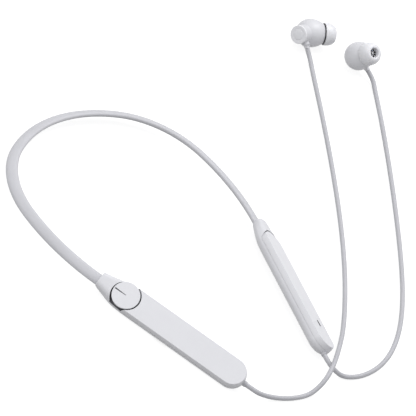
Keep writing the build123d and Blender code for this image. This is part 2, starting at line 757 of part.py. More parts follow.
board_screw(RIGHT, 84, -4.2, "right_board_screw_outer")
usb_shell()
usb_tongue()
cable_grommet(LEFT, "left_grommet")
cable_grommet(RIGHT, "right_grommet")
right_microphone()
left_bud = bud_plane(LEFT_BUD, -32.94, 9.37, 58.49)
right_bud = bud_plane(RIGHT_BUD, -103.0, 52.3, -92.82)
earbud(left_bud, 1, "left")
earbud(right_bud, -1, "right")
cables(left_bud, right_bud)
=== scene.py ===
import bmesh
import bpy
from math import atan2, cos, pi, radians, sin, sqrt
from mathutils import Matrix, Vector


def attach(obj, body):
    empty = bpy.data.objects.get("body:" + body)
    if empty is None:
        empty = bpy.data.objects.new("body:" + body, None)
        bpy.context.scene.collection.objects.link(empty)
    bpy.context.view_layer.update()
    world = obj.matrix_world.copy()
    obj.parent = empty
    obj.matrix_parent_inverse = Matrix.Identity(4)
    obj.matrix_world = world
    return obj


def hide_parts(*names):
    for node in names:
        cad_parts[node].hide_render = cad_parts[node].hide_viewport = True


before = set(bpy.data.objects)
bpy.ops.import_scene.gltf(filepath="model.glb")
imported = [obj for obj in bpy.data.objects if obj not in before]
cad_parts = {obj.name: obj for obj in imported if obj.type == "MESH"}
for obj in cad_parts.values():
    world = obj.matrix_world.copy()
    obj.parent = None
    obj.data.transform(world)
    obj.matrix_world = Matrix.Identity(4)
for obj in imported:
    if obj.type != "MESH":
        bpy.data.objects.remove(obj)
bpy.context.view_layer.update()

# ---------------------------------------------------------------- dimensions, in mm
MM = 0.001
# Loop: middle and far edge of its plan, height of the band's core, then radius and turn of each arc
MID_X, NAPE_Y, CORE_Z = -82.98, 96.48, 5.965
ARC_NAPE, TURN_NAPE = 91.0, radians(27.5)
ARC_SIDE, TURN_SIDE = 55.1, radians(55.7)
ARC_TAIL, TURN_TAIL = 125.9, radians(25.8)
# Modules: lean of the pair in plan, outward roll of their faces
LEAN, ROLL = radians(19.0), radians(30.1)
# Band: half width, half thickness, length inside the sleeve, spacing of its rings, fullness of its oval
BAND_W, BAND_T = 3.4, 1.7
BAND_INSET, BAND_STEP, BAND_OVAL = 7.9, 1.6, 0.92
# Module section: half widths and heights at the face, at the seam and round the belly
FACE_HALF, FACE_Z = 7.75, 4.6
SEAM_HALF, SEAM_Z = 8.3, 1.3
BELLY_HALF, BELLY_Z = 8.45, 4.8
END_X, FULL_X = 97.6 - BELLY_HALF, 20.0
WALL, REVEAL = 1.2, 0.06
CAVITY_LEFT, CAVITY_RIGHT = 28.0, 21.0
# Sleeve collar: (x, shrink) of the softened edge, middle height, end of the flat lip
COLLAR = ((0.0, 0.94), (0.05, 0.97), (0.15, 0.99))
COLLAR_MID_Z, COLLAR_LIP = 1.9, 0.4
SOCKET_DEPTH, SOCKET_GAP = 8.0, 0.03
# Dial, the pocket that it sits in (x, y, radius) and the recesses under it (radius, floor)
DIAL_X, DIAL_R, POCKET_R = 17.2, 8.0, 8.7
POCKET = (DIAL_X + 0.3, -0.7, 8.85)
SEAM_GAP = 0.12
SEAT_R, SEAT_Z = 6.9, 0.1
PLATE_R, PLATE_Z = 6.0, -2.2
SWITCH_R, SWITCH_Z = 3.0, -3.5
LEAD_X, LEAD_LONG, LEAD_WIDE = 26.0, 8.0, 6.0
# A size past any part of a module, for what is cut away whole
PAST_X, PAST_Y, PAST_Z = 130.0, 15.0, 9.0
# Charging socket, microphone slot, cable and its grommet
USB_X, USB_Z, USB_LONG, USB_HIGH = 47.0, -1.95, 9.2, 3.2
MIC_X, MIC_Y, MIC_LONG, MIC_WIDE = 78.3, 1.4, 4.7, 1.5
CABLE_R = 1.35
GROMMET_R, GROMMET_Z, GROMMET_FACE = 1.7, -0.7, 99.0
# Earbuds: rear cap and cable boss
CAP_TILT, CAP_R, CAP_BODY, CAP_FACE = radians(41.5), 5.4, 11.6, 12.7
BOSS_TILT, BOSS_AT, BOSS_SHELL, BOSS_END = radians(27.0), 7.3, 6.7, 9.0
# Nozzle grille: height of its middle, fall towards the rim, radii, sectors, steps in each, open share
GRILLE_Z, GRILLE_FALL = 13.25, 0.10
GRILLE_RADII = (0.3, 0.62, 2.45, 2.86)
GRILLE_SECTORS, GRILLE_STEPS, GRILLE_OPEN = 7, 12, 0.76
GRILLE_THICK = 0.16

# ---------------------------------------------------------------- light and view, in metres
CAM_RIGHT, CAM_AWAY = (0.66661, -0.62848, 0.40080), (-0.70894, -0.36842, 0.60140)
CAM_AIM, CAM_SHIFT, CAM_DISTANCE = (-0.08298, 0.00648, 0.0), (0.02991, 0.01596), 4.0
CAM_SENSOR, CAM_LENS = 36.0, 623.1
FLOOR_HALF, FLOOR_GREY, FLOOR_GLOW = 6.0, 0.35, 0.80
SKY_BELOW, SKY_LEVEL, SKY_ABOVE = 0.28, 0.40, 0.97
SKY_RED, SKY_GREEN = 0.985, 0.99


# ---------------------------------------------------------------- camera, first
def look():
    """Long lens, looking down across the loop towards the earbuds."""
    right, away = Vector(CAM_RIGHT).normalized(), Vector(CAM_AWAY).normalized()
    up = away.cross(right).normalized()
    right = up.cross(away)
    data = bpy.data.cameras.new("camera")
    data.sensor_width, data.lens = CAM_SENSOR, CAM_LENS
    data.clip_start, data.clip_end = 0.1, 50.0
    cam = bpy.data.objects.new("camera", data)
    bpy.context.collection.objects.link(cam)
    spot = away * CAM_DISTANCE + right * CAM_SHIFT[0] + up * CAM_SHIFT[1] + Vector(CAM_AIM)
    cam.matrix_world = Matrix.Translation(spot) @ Matrix((right, up, away)).transposed().to_4x4()
    bpy.context.scene.camera = cam


look()


# ---------------------------------------------------------------- frames of reference
def horseshoe():
    """Half width of the loop at its ends, and their distance from its far edge."""
    a, b, c = TURN_NAPE, TURN_NAPE + TURN_SIDE, TURN_NAPE + TURN_SIDE + TURN_TAIL
    half = ARC_NAPE * sin(a) + ARC_SIDE * (sin(b) - sin(a)) + ARC_TAIL * (sin(c) - sin(b))
    drop = ARC_NAPE * (1 - cos(a)) + ARC_SIDE * (cos(a) - cos(b)) + ARC_TAIL * (cos(b) - cos(c))
    return half, drop


class Frame:
    """A local frame in mm: at(x, y, z) gives a point of the shared frame in metres."""

    def __init__(self, origin, x_dir, z_dir):
        self.o, self.x, self.z = Vector(origin), Vector(x_dir).normalized(), Vector(z_dir).normalized()
        self.y = self.z.cross(self.x)

    def at(self, x, y, z):
        return (self.o + self.x * x + self.y * y + self.z * z) * MM


def module_frame(side):
    """X from the band along the module, Z out of its rolled face."""
    half, drop = horseshoe()
    out = Vector((side * cos(LEAN), -sin(LEAN), 0))
    along = Vector((-side * sin(LEAN), -cos(LEAN), 0))
    face = out * sin(ROLL) + Vector((0, 0, cos(ROLL)))
    return Frame((MID_X + side * half, NAPE_Y - drop, CORE_Z), along, face)


def bud_frame(spot, azimuth, rise, roll):
    """Z along the nozzle, X turned round it by the roll."""
    a, e, w = radians(azimuth), radians(rise), radians(roll)
    nose = Vector((cos(e) * cos(a), cos(e) * sin(a), sin(e)))
    up = Vector((-sin(e) * cos(a), -sin(e) * sin(a), cos(e)))
    return Frame(spot, up * cos(w) + nose.cross(up) * sin(w), nose)


LEFT, RIGHT = module_frame(-1), module_frame(1)
LEFT_BUD = bud_frame((131.46, 97.65, 8.36), -32.94, 9.37, 58.49)
RIGHT_BUD = bud_frame((145.30, 69.60, 12.05), -103.0, 52.3, -92.82)


# ---------------------------------------------------------------- materials
IOR, COAT_ROUGHNESS = 1.47, 0.25
SCATTER, SCATTER_SCALE = (1.0, 0.95, 0.9), 0.0012
CLOUD_LOW, CLOUD_HIGH, GLOSS_SPREAD = 0.3, 0.7, 0.04
GRAIN_DEPTH = 0.00003


def material(name, colour, roughness, bump=0.0, grain=900.0, mottle=0.0, mottle_scale=60.0,
             coat=0.0, metallic=0.0, subsurface=0.0):
    """Procedural surface: even colour with faint mottling, moulded micro-texture, uneven gloss."""
    mat = bpy.data.materials.new(name)
    mat.use_nodes = True
    nodes, links = mat.node_tree.nodes, mat.node_tree.links
    shader = nodes["Principled BSDF"]
    for socket, value in {
        "Metallic": metallic, "IOR": IOR, "Subsurface Weight": subsurface, "Subsurface Radius": SCATTER,
        "Subsurface Scale": SCATTER_SCALE, "Coat Weight": coat, "Coat Roughness": COAT_ROUGHNESS,
    }.items():
        shader.inputs[socket].default_value = value
    place = nodes.new("ShaderNodeTexCoord")
    cloud = nodes.new("ShaderNodeTexNoise")
    cloud.inputs["Scale"].default_value = mottle_scale
    cloud.inputs["Detail"].default_value = 4.0
    links.new(place.outputs["Object"], cloud.inputs["Vector"])
    ramp = nodes.new("ShaderNodeValToRGB")
    first, last = ramp.color_ramp.elements
    first.position, last.position = CLOUD_LOW, CLOUD_HIGH
    first.color = (*(c * (1 - mottle) for c in colour), 1)
    last.color = (*(c * (1 + mottle) for c in colour), 1)
    links.new(cloud.outputs["Fac"], ramp.inputs["Fac"])
    links.new(ramp.outputs["Color"], shader.inputs["Base Color"])
    gloss = nodes.new("ShaderNodeMapRange")
    gloss.inputs["From Min"].default_value, gloss.inputs["From Max"].default_value = CLOUD_LOW, CLOUD_HIGH
    gloss.inputs["To Min"].default_value = roughness - GLOSS_SPREAD
    gloss.inputs["To Max"].default_value = roughness + GLOSS_SPREAD
    links.new(cloud.outputs["Fac"], gloss.inputs["Value"])
    links.new(gloss.outputs["Result"], shader.inputs["Roughness"])
    if bump:
        fine = nodes.new("ShaderNodeTexNoise")
        fine.inputs["Scale"].default_value = grain
        fine.inputs["Detail"].default_value = 3.0
        links.new(place.outputs["Object"], fine.inputs["Vector"])
        relief = nodes.new("ShaderNodeBump")
        relief.inputs["Strength"].default_value = bump
        relief.inputs["Distance"].default_value = GRAIN_DEPTH
        links.new(fine.outputs["Fac"], relief.inputs["Height"])
        links.new(relief.outputs["Normal"], shader.inputs["Normal"])
    return mat


SHELL = material("shell_plastic", (0.70, 0.70, 0.73), 0.42, bump=0.25, grain=2600, mottle=0.012, coat=0.12)
CAP = material("cap_plastic", (0.82, 0.82, 0.85), 0.40, bump=0.25, grain=2600, mottle=0.012, coat=0.2)
COVER = material("cover_plastic", (0.735, 0.735, 0.765), 0.44, bump=0.25, grain=2600, mottle=0.012, coat=0.10)
DIAL = material("dial_plastic", (0.73, 0.73, 0.76), 0.36, bump=0.2, grain=2600, mottle=0.012, coat=0.25)
BAND = material("band_silicone", (0.57, 0.57, 0.60), 0.55, bump=0.3, grain=1800, mottle=0.02, subsurface=0.1)
CORD = material("cable_jacket", (0.50, 0.50, 0.53), 0.48, bump=0.25, grain=2200, mottle=0.02, subsurface=0.08)
TIP = material("tip_silicone", (0.80, 0.80, 0.83), 0.38, bump=0.15, grain=1600, mottle=0.015, subsurface=0.25)
DARK = material("dark_plastic", (0.035, 0.035, 0.04), 0.5, bump=0.3, grain=2200, mottle=0.1)
# Dark plastic of the dial's seat parts; it also lines the left tub's pocket walls as painted shade
SEAT = material("seat_plastic_and_pocket_shade", (0.09, 0.09, 0.10), 0.45, bump=0.3, grain=2200, mottle=0.08)
# Mid grey lining for the right tub's seam faces: painted shade for the seam line
SEAM = material("painted_seam_shade", (0.34, 0.34, 0.36), 0.45, bump=0.3, grain=2200, mottle=0.05)
MESH = material("woven_mesh", (0.10, 0.10, 0.11), 0.4, metallic=0.8, bump=1.0, grain=5200, mottle=0.3)
LATTICE = material("lattice_metal", (0.75, 0.75, 0.78), 0.3, metallic=0.7, bump=0.2, grain=3000, mottle=0.05)
STEEL = material("steel", (0.55, 0.55, 0.58), 0.28, metallic=1.0, bump=0.2, grain=2000, mottle=0.06)
COPPER = material("copper", (0.72, 0.40, 0.22), 0.35, metallic=1.0, bump=0.3, grain=2600, mottle=0.1)
BOARD = material("board_mask", (0.02, 0.14, 0.07), 0.35, bump=0.6, grain=900, mottle=0.25, coat=0.4)
FOIL = material("cell_foil", (0.58, 0.59, 0.62), 0.4, metallic=0.9, bump=0.6, grain=500, mottle=0.08)
MAGNET = material("magnet_plating", (0.40, 0.40, 0.42), 0.25, metallic=1.0, bump=0.2, grain=1500, mottle=0.05)
GROOVE = material("dark_groove_lining", (0.13, 0.13, 0.14), 0.6, bump=0.2, grain=2000, mottle=0.05)
SHADOW = material("seam_shadow", (0.10, 0.10, 0.11), 0.7, bump=0.2, grain=2000, mottle=0.05)


def dress(node, mat):
    """A better material on a CAD node that stays."""
    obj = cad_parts[node]
    obj.data.materials.clear()
    obj.data.materials.append(mat)


# ---------------------------------------------------------------- mesh tools
def make(name, verts, faces, mat, body, sharp=None):
    """Smooth piece from points and faces, riding on a body."""
    mesh = bpy.data.meshes.new(name)
    mesh.from_pydata([tuple(v) for v in verts], [], faces)
    mesh.validate()
    mesh.update()
    for p in mesh.polygons:
        p.use_smooth = True
    obj = bpy.data.objects.new(name, mesh)
    bpy.context.collection.objects.link(obj)
    obj.data.materials.append(mat)
    if sharp is not None:
        mesh.set_sharp_from_angle(angle=radians(sharp))
    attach(obj, body)
    return obj


def grid_faces(rows, cols, wrap_rows=False, flip=False):
    """Quads between successive closed rings of points."""
    faces = []
    for i in range(rows if wrap_rows else rows - 1):
        for j in range(cols):
            a, b = i * cols + j, i * cols + (j + 1) % cols
            c, d = ((i + 1) % rows) * cols + (j + 1) % cols, ((i + 1) % rows) * cols + j
            faces.append((a, d, c, b) if flip else (a, b, c, d))
    return faces


def rings_about(fr, profile, steps):
    """Rings of a profile of (radius, height), turned about the Z axis of a frame."""
    turn = [2 * pi * k / steps for k in range(steps)]
    return [[fr.at(r * cos(a), r * sin(a), z) for a in turn] for r, z in profile]


def lathe(name, fr, profile, mat, body, sharp):
    """Turn a closed profile that stays clear of the axis."""
    rows = rings_about(fr, profile, 96)
    verts = [v for row in rows for v in row]
    return make(name, verts, grid_faces(len(rows), 96, wrap_rows=True), mat, body, sharp)


def smooth_path(points, per):
    """Points of a Catmull-Rom curve through a profile's points."""
    out = []
    for i in range(len(points) - 1):
        p0 = points[max(0, i - 1)]
        p1, p2 = points[i], points[i + 1]
        p3 = points[min(len(points) - 1, i + 2)]
        for k in range(per):
            t = k / per
            out.append(tuple(
                0.5 * (2 * b + (c - a) * t + (2 * a - 5 * b + 4 * c - d) * t * t
                       + (3 * b - a - 3 * c + d) * t ** 3)
                for a, b, c, d in zip(p0, p1, p2, p3)
            ))
    out.append(tuple(points[-1]))
    return out


def bezier(a, b, c, count):
    """Quadratic Bezier points, both ends included."""
    return [
        tuple((1 - t) ** 2 * p + 2 * t * (1 - t) * q + t * t * r for p, q, r in zip(a, b, c))
        for t in (k / count for k in range(count + 1))
    ]


# ---------------------------------------------------------------- cables
LEFT_ROUTE = [
    (-115.73, -105.54, 5.36), (-114.10, -110.27, 5.36), (-110.63, -113.71, 4.08), (-102.05, -117.73, 2.17),
    (-91.45, -121.46, 1.53), (-79.98, -123.22, CABLE_R), (-73.67, -123.38, 4.00),
    (-66.16, -121.78, 9.20), (-52.41, -114.11, 9.60), (-33.55, -102.29, 4.60),
    (-18.48, -91.82, CABLE_R), (-1.41, -75.79, CABLE_R), (16.43, -57.21, CABLE_R),
    (34.13, -36.92, CABLE_R), (51.05, -15.96, CABLE_R), (67.38, 5.44, CABLE_R),
    (83.32, 27.15, CABLE_R), (98.91, 49.10, CABLE_R), (110.85, 66.48, CABLE_R),
    (118.96, 78.08, CABLE_R), (123.12, 84.73, 2.14), (123.60, 89.72, 5.24),
]
RIGHT_ROUTE = [
    (-50.23, -105.54, 5.36), (-51.89, -110.37, 5.36), (-51.12, -115.61, 4.04), (-47.10, -120.11, 1.75),
    (-38.18, -123.42, CABLE_R), (-26.92, -123.93, CABLE_R), (-13.62, -121.49, CABLE_R),
    (1.45, -115.16, CABLE_R), (17.93, -104.32, CABLE_R), (34.89, -89.47, CABLE_R),
    (52.01, -71.54, CABLE_R), (68.97, -51.93, CABLE_R), (85.47, -31.94, CABLE_R),
    (101.66, -11.69, CABLE_R), (117.52, 8.82, CABLE_R), (131.03, 26.86, CABLE_R),
    (140.95, 40.55, CABLE_R), (147.42, 49.76, CABLE_R), (152.00, 57.47, 2.85), (151.49, 63.08, 4.73),
]


def cable(name, route, node):
    """Free cable along a route's control points."""
    curve = bpy.data.curves.new(name, "CURVE")
    curve.dimensions = "3D"
    line = curve.splines.new("NURBS")
    line.points.add(len(route) - 1)
    for point, spot in zip(line.points, route):
        point.co = (spot[0] * MM, spot[1] * MM, spot[2] * MM, 1.0)
    line.order_u = 3
    line.use_endpoint_u = True
    line.resolution_u = 12
    curve.bevel_depth = CABLE_R * MM
    curve.bevel_resolution = 8
    curve.use_fill_caps = True
    obj = bpy.data.objects.new(name, curve)
    bpy.context.collection.objects.link(obj)
    obj.data.materials.append(CORD)
    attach(obj, "neckband")
    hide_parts(node)


cable("left_cable_cord", LEFT_ROUTE, "left_cable")
cable("right_cable_cord", RIGHT_ROUTE, "right_cable")


# ---------------------------------------------------------------- neckband
def band_path():
    """Centreline points of the band with their headings, from one sleeve to the other."""
    points = []
    start = LEFT.o + LEFT.x * BAND_INSET
    heading = atan2(-LEFT.x.y, -LEFT.x.x)
    spot = Vector((start.x, start.y))
    steps = 6
    for k in range(steps):
        points.append((spot + Vector((cos(heading), sin(heading))) * BAND_INSET * k / steps, heading))
    spot = Vector((LEFT.o.x, LEFT.o.y))
    for radius, turn in (
        (ARC_TAIL, TURN_TAIL), (ARC_SIDE, TURN_SIDE), (ARC_NAPE, 2 * TURN_NAPE),
        (ARC_SIDE, TURN_SIDE), (ARC_TAIL, TURN_TAIL),
    ):
        centre = spot + Vector((sin(heading), -cos(heading))) * radius
        count = max(8, int(radius * turn / BAND_STEP))
        for k in range(count):
            h = heading - turn * k / count
            points.append((centre + Vector((-sin(h), cos(h))) * radius, h))
        heading -= turn
        spot = centre + Vector((-sin(heading), cos(heading))) * radius
    for k in range(steps + 1):
        points.append((spot + Vector((cos(heading), sin(heading))) * BAND_INSET * k / steps, heading))
    return points


def band():
    """Oval silicone band, a little fuller than an ellipse."""
    rings, cols = [], 48
    for spot, heading in band_path():
        out = Vector((-sin(heading), cos(heading), 0))
        face = out * sin(ROLL) + Vector((0, 0, cos(ROLL)))
        wide = out * cos(ROLL) - Vector((0, 0, sin(ROLL)))
        ring = []
        for k in range(cols):
            c, s = cos(2 * pi * k / cols), sin(2 * pi * k / cols)
            w = BAND_W * (abs(c) ** BAND_OVAL) * (1 if c >= 0 else -1)
            t = BAND_T * (abs(s) ** BAND_OVAL) * (1 if s >= 0 else -1)
            ring.append((Vector((spot.x, spot.y, CORE_Z)) + wide * w + face * t) * MM)
        rings.append(ring)
    verts = [v for ring in rings for v in ring]
    ends = [tuple(range(cols)), tuple(range(len(verts) - cols, len(verts)))[::-1]]
    faces = grid_faces(len(rings), cols, flip=True) + ends
    obj = make("band", verts, faces, BAND, "neckband", 60)
    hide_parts("neckband_skin")


band()


# ---------------------------------------------------------------- module mesh work
def solid(name, rings, mat=None):
    """Closed skin over rings, standing alone until it is carved with or becomes a piece."""
    cols = len(rings[0])
    faces = grid_faces(len(rings), cols) + [tuple(range(cols))[::-1]]
    faces.append(tuple(range(len(rings) * cols - cols, len(rings) * cols)))
    mesh = bpy.data.meshes.new(name)
    mesh.from_pydata([tuple(v) for ring in rings for v in ring], [], faces)
    work = bmesh.new()
    work.from_mesh(mesh)
    bmesh.ops.remove_doubles(work, verts=work.verts, dist=1e-7)
    bmesh.ops.dissolve_degenerate(work, edges=work.edges, dist=1e-7)
    bmesh.ops.recalc_face_normals(work, faces=work.faces)
    work.to_mesh(mesh)
    work.free()
    obj = bpy.data.objects.new(name, mesh)
    bpy.context.collection.objects.link(obj)
    if mat:
        mesh.materials.append(mat)
    return obj


def prism(fr, plan, z_low, z_high, mat=None):
    """Upright prism over a plan outline given in module x and y."""
    return solid("cutter", [[fr.at(x, y, z) for x, y in plan] for z in (z_low, z_high)], mat)


def rod(fr, start, stop, half_y, half_z, z=0.0):
    """Oval rod lying along the module."""
    turn = [2 * pi * k / 64 for k in range(64)]
    return solid("cutter", [
        [fr.at(x, half_y * cos(a), z + half_z * sin(a)) for a in turn] for x in (start, stop)
    ])


def circle(x, r):
    """Plan of a circle on the module's middle line."""
    return [(x + r * cos(2 * pi * k / 72), r * sin(2 * pi * k / 72)) for k in range(72)]


def slot(x, y, long, wide):
    """Plan of a round-ended slot."""
    r, half, steps = wide / 2, (long - wide) / 2, 16
    return [
        (x + s * half + r * cos(a), y + r * sin(a))
        for s, turn in ((1, -pi / 2), (-1, pi / 2))
        for a in (turn + pi * k / steps for k in range(steps + 1))
    ]


def carve(obj, cutters):
    """Subtract closed solids, whose materials line what they cut."""
    for cutter in cutters:
        cut = obj.modifiers.new("cut", "BOOLEAN")
        cut.operation, cut.solver, cut.object = "DIFFERENCE", "EXACT", cutter
        cut.material_mode = "TRANSFER"
    view = bpy.context.evaluated_depsgraph_get()
    mesh = bpy.data.meshes.new_from_object(obj.evaluated_get(view), depsgraph=view)
    obj.modifiers.clear()
    obj.data = mesh
    for cutter in cutters:
        bpy.data.objects.remove(cutter)


def finish_piece(obj, name, body, node, sharp):
    """Name, shade and attach a piece that stands for a CAD node, and hide that node."""
    obj.name = name
    for p in obj.data.polygons:
        p.use_smooth = True
    obj.data.set_sharp_from_angle(angle=radians(sharp))
    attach(obj, body)
    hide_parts(node)


def section(face_half, face_z, seam_half, seam_z, belly_half, core_z, belly_z, bulge):
    """Closed section outline as (y, z), face first, then round the belly."""
    shoulder = ((face_half + seam_half) / 2, (face_z + seam_z) / 2)
    if bulge:
        shoulder = (face_half + bulge * (seam_half - face_half), face_z - 0.15 * bulge)
    wall = bezier((face_half, face_z), shoulder, (seam_half, seam_z), 10)
    hip = (0.4 * seam_half + 0.6 * belly_half, core_z + 0.5 * (seam_z - core_z))
    tub = bezier((seam_half, seam_z), hip, (belly_half, core_z), 8)
    steps = 20
    belly = [
        (belly_half * cos(pi / 2 * k / steps), core_z - belly_z * sin(pi / 2 * k / steps))
        for k in range(1, steps)
    ]
    half = wall + tub[1:] + belly
    return half + [(0.0, core_z - belly_z)] + [(-y, z) for y, z in half[::-1]]


# The arguments of section() along a module: outside, inside, and along the sleeve as (x, arguments)
FULL = (FACE_HALF, FACE_Z, SEAM_HALF, SEAM_Z, BELLY_HALF, 0.0, BELLY_Z, 0.0)
HOLLOW = (
    FACE_HALF - WALL, FACE_Z - WALL, SEAM_HALF - WALL, SEAM_Z, BELLY_HALF - WALL, 0.0, BELLY_Z - WALL, 0.0,
)
SLEEVE = (
    (0.0, (1.5, 4.7, 4.3, 2.4, 4.35, 1.1, 3.5, 1.0)),
    (6.5, (2.4, 4.68, 5.9, 1.9, 6.3, 0.6, 4.2, 0.9)),
    (13.0, (4.6, 4.65, 7.6, 1.5, 7.93, 0.15, 4.67, 0.7)),
    (FULL_X, FULL),
)


def run(fr, start, outline):
    """Straight run of a section, closed by half a turn at the cable end."""
    rings, count, steps = [], 14, 20
    for k in range(count + 1):
        x = start + (END_X - start) * k / count
        rings.append([fr.at(x, y, z) for y, z in outline])
    for k in range(1, steps + 1):
        c, s = cos(pi / 2 * k / steps), sin(pi / 2 * k / steps)
        rings.append([fr.at(END_X + abs(y) * s, y * c, z) for y, z in outline])
    return rings


def sleeve_rings(fr):
    """Rings of the sleeve, its collar edge softened, up to the full section."""
    rows = [[(x, y, z) for y, z in section(*shape)] for x, shape in SLEEVE]
    rings = [
        [fr.at(x, y * shrink, COLLAR_MID_Z + (z - COLLAR_MID_Z) * shrink) for _, y, z in rows[0]]
        for x, shrink in COLLAR
    ]
    rings.append([fr.at(COLLAR_LIP, y, z) for _, y, z in rows[0]])
    paths = [smooth_path(column, 8) for column in zip(*rows)]
    return rings + [[fr.at(*path[k]) for path in paths] for k in range(1, len(paths[0]) - 1)]


def above_seam(fr, x, y, radius, lining):
    """Cutter for the space of the cover and of the round pocket at its band end."""
    steps = 48
    plan = [(PAST_X, -PAST_Y), (PAST_X, PAST_Y), (x, PAST_Y)]
    plan += [(x - radius * sin(pi * k / steps), y + radius * cos(pi * k / steps)) for k in range(steps + 1)]
    plan.append((x, -PAST_Y))
    return prism(fr, plan, SEAM_Z, PAST_Z, lining)


def housing(fr, side, cavity, pocket, extra):
    """Tub and sleeve in one, open at the seam, at the band and at the cable."""
    body = solid("skin", sleeve_rings(fr) + run(fr, FULL_X, section(*FULL)), SHELL)
    cutters = [
        above_seam(fr, *pocket), solid("cutter", run(fr, cavity, section(*HOLLOW))),
        rod(fr, -1.0, SOCKET_DEPTH, BAND_W + SOCKET_GAP, BAND_T + SOCKET_GAP),
        rod(fr, END_X + 4.0, END_X + 14.0, GROMMET_R, GROMMET_R, z=GROMMET_Z),
    ]
    carve(body, cutters + extra)
    finish_piece(body, f"{side}_tub", "neckband", f"{side}_housing", 32)


def left_extras():
    """Dial recesses and the charging slot in the left tub."""
    usb = [
        [LEFT.at(x, y, z) for x, z in slot(USB_X, USB_Z, USB_LONG, USB_HIGH)] for y in (-3.0, -14.0)
    ]
    return [
        prism(LEFT, circle(DIAL_X, SEAT_R), SEAT_Z, SEAM_Z + 1),
        prism(LEFT, circle(DIAL_X, PLATE_R), PLATE_Z, SEAT_Z + 0.4),
        prism(LEFT, circle(DIAL_X, SWITCH_R), SWITCH_Z, PLATE_Z + 0.2),
        prism(LEFT, slot(LEAD_X, 0, LEAD_LONG, LEAD_WIDE), PLATE_Z, SEAT_Z),
        # The charging slot's walls are lined with dark painted shade
        solid("cutter", usb, SHADOW),
    ]


def cover_ring(fr, r, z, near):
    """Ring round a cover: straight sides, a round far end, a round or hollow near end."""
    ring, turn, line = [], 24, 20
    left = sqrt(near * near - r * r) + DIAL_X if near else DIAL_X
    for k in range(line):
        ring.append((left + (END_X - left) * k / line, -r))
    for k in range(turn):
        a = -pi / 2 + pi * k / turn
        ring.append((END_X + r * cos(a), r * sin(a)))
    for k in range(line):
        ring.append((END_X + (left - END_X) * k / line, r))
    wide = atan2(r, left - DIAL_X)
    for k in range(turn):
        if near:
            a = wide - 2 * wide * k / turn
            ring.append((DIAL_X + near * cos(a), near * sin(a)))
        else:
            a = pi / 2 + pi * k / turn
            ring.append((DIAL_X + r * cos(a), r * sin(a)))
    return [fr.at(x, y, z) for x, y in ring]


def cover_rings(fr, rows, hollow_end):
    """Rings of (half width, height, distance back from the dial's pocket)."""
    return [cover_ring(fr, r, z, POCKET_R + back if hollow_end else None) for r, z, back in rows]


def cover(fr, side, hollow_end, extra):
    """Cover shell with a softened rim, a drafted wall, a reveal and a hollow underside."""
    low, soft, rim = SEAM_Z + REVEAL, 0.25, FACE_HALF + 0.05
    rows = [(SEAM_HALF - 0.5, SEAM_Z, 0), (SEAM_HALF - 0.5, low, 0), (SEAM_HALF - 0.06, low, 0)]
    wall = bezier((SEAM_HALF - 0.01, low + 0.05), (SEAM_HALF - 0.08, 2.9), (rim, FACE_Z - soft), 8)
    rows += [(r, z, 0) for r, z in wall]
    for k in range(1, 9):
        a = pi / 2 * k / 8
        rows.append((rim - soft * (1 - cos(a)), FACE_Z - soft * (1 - sin(a)), soft * (1 - cos(a))))
    rows.append((FACE_HALF - soft, FACE_Z, soft + 0.04))
    shell = solid("cover", cover_rings(fr, rows, hollow_end), COVER)
    under = [(6.8, SEAM_Z - 1, WALL), (6.72, 2.3, WALL), (6.55, 3.4, WALL)]
    carve(shell, [solid("cutter", cover_rings(fr, under, hollow_end))] + extra)
    finish_piece(shell, f"{side}_cover_shell", "neckband", f"{side}_cover", 32)


# The left tub's pocket walls round the dial are lined with the dark seat plastic as painted shade
housing(LEFT, "left", CAVITY_LEFT, (*POCKET, SEAT), left_extras())
# The right tub's seam faces are lined with mid grey painted shade
housing(RIGHT, "right", CAVITY_RIGHT, (DIAL_X, 0.0, SEAM_HALF + SEAM_GAP, SEAM), [])
cover(LEFT, "left", True, [])
# The microphone slot's walls are lined with dark painted shade
cover(RIGHT, "right", False, [prism(RIGHT, slot(MIC_X, MIC_Y, MIC_LONG, MIC_WIDE), 2.6, 6.0, SHADOW)])


# ---------------------------------------------------------------- dial
def dial():
    """Turning disc with softened rims, a hub and a tapering pointer groove."""
    fr = Frame(LEFT.o + LEFT.x * DIAL_X, LEFT.x, LEFT.z)
    low, top, rim = 3.0, FACE_Z, 0.28
    bore, hub, deep = 1.63, 2.6, 0.7
    profile = [(0.0, top - deep), (bore, top - deep), (bore, low - 0.75), (hub, low - 0.75), (hub, low)]
    profile += [(DIAL_R - 1.1, low), (DIAL_R - 0.9, low + 0.08), (DIAL_R - 0.02, top - deep)]
    turn = [pi / 16 * k for k in range(9)]
    profile += [(DIAL_R - rim + rim * cos(a), top - rim + rim * sin(a)) for a in turn]
    profile += [(DIAL_R - rim - 0.04, top), (4.0, top), (0.0, top)]
    knob = solid("knob", rings_about(fr, profile, 160), DIAL)
    far, near = -7.25, -0.1
    foot = [(far, -0.20, 0.42), (near, -0.10, 0.10), (near, 0.10, 0.10), (far, 0.20, 0.42)]
    mouth = [(far, -0.46), (near, -0.24), (near, 0.24), (far, 0.46)]
    # The pointer groove's cut walls are lined near black
    groove = solid("cutter", [
        [fr.at(x, y, top - depth) for x, y, depth in foot], [fr.at(x, y, top + 0.05) for x, y in mouth],
    ], GROOVE)
    carve(knob, [groove])
    finish_piece(knob, "dial_disc", "dial", "dial_knob", 40)


dial()


